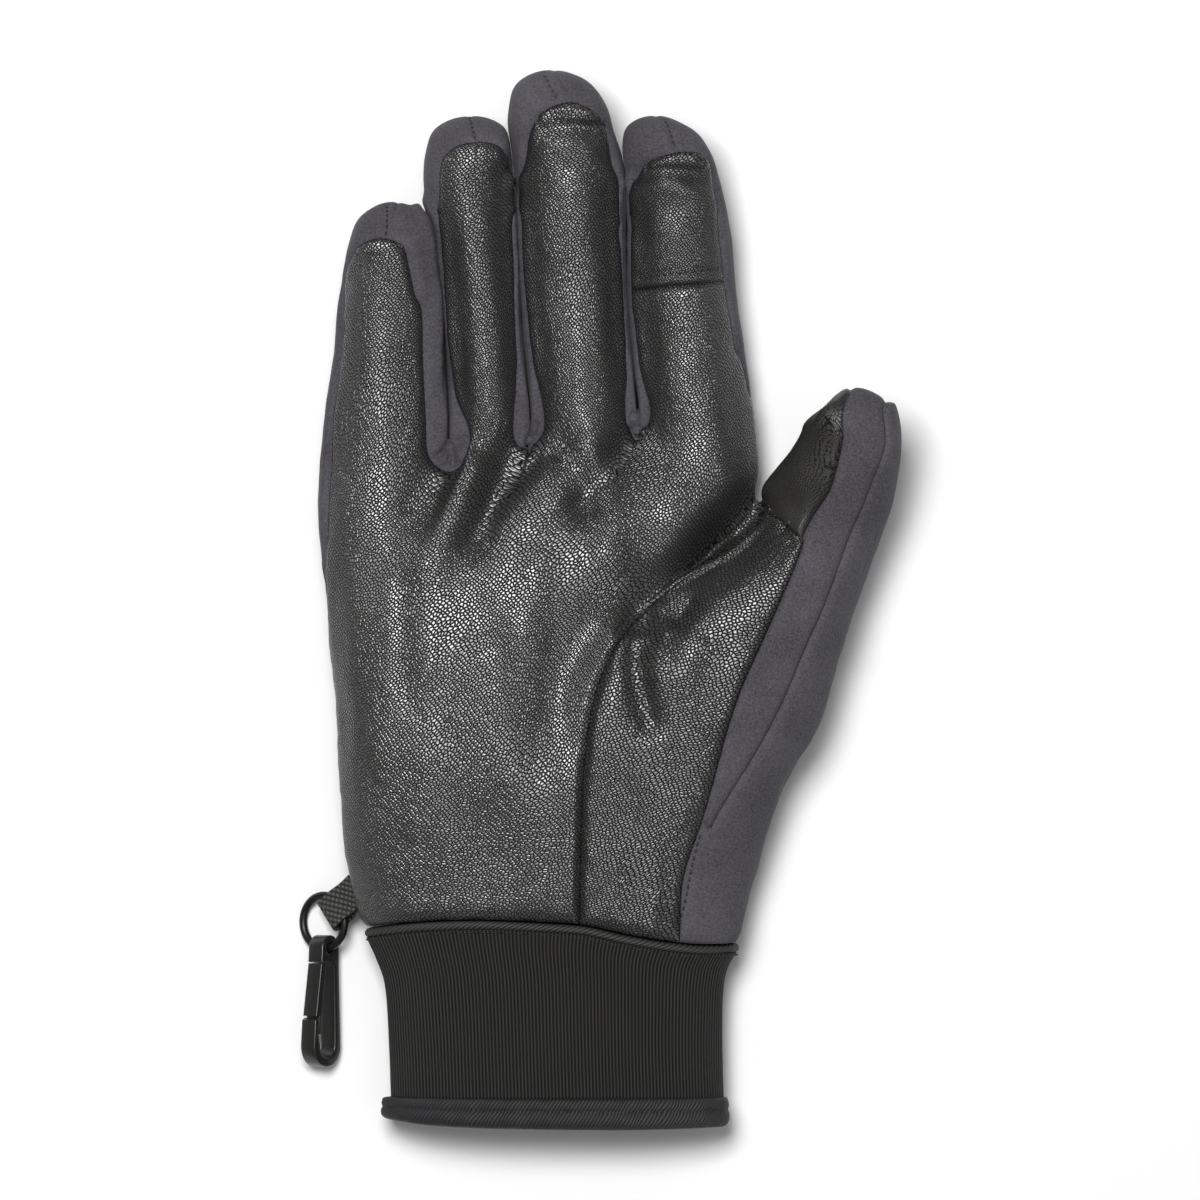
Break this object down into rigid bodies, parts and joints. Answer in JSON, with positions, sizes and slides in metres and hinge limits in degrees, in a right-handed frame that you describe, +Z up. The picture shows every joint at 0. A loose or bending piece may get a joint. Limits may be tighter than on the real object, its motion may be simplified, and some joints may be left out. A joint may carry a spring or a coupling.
{
  "type": "softshell glove",
  "caption": "Right-hand softshell glove with a leather palm, touch patches, stretch knit cuff and a webbing loop with ring and snap hook, lying palm up.",
  "frame": {"origin": "middle of the footprint of the glove, hook included, on the surface that it lies on", "axes": "+Z up out of the palm, +Y towards the fingertips, +X towards the thumb"},
  "size_m": [0.1427, 0.2508, 0.0409],
  "materials": {
    "leather": "black pebble-grain goatskin, softly shiny",
    "touch_leather": "black fine-grain synthetic leather, satin",
    "softshell": "charcoal matt stretch softshell",
    "knit": "black fine-rib stretch knit, faint sheen",
    "binding": "black stretch binding, stitched",
    "webbing": "black woven webbing",
    "ring_metal": "black coated steel wire, satin",
    "hook_plastic": "black moulded acetal, satin"
  },
  "bodies": {
    "glove": {"palm_leather": "leather", "thumb_leather": "leather", "index_touch_patch": "touch_leather", "thumb_touch_patch": "touch_leather", "thumb_strip": "softshell", "fourchette_little_ring": "softshell", "fourchette_ring_middle": "softshell", "fourchette_middle_index": "softshell", "back_shell": "softshell", "cuff_seam_band": "binding", "cuff": "knit", "cuff_hem": "binding", "webbing_loop": "webbing", "ring": "ring_metal", "hook_body": "hook_plastic"},
    "gate": {"hook_gate": "hook_plastic"}
  },
  "joints": [
    {"name": "hook_gate_flex", "type": "hinge", "parent": "glove", "child": "gate", "pos_m": [-0.0667, -0.08649, 0.00633], "axis": [0.7876, -0.0143, 0.616], "range_deg": [0, 14], "stiffness_Nm_per_rad": 0.02}
  ]
}
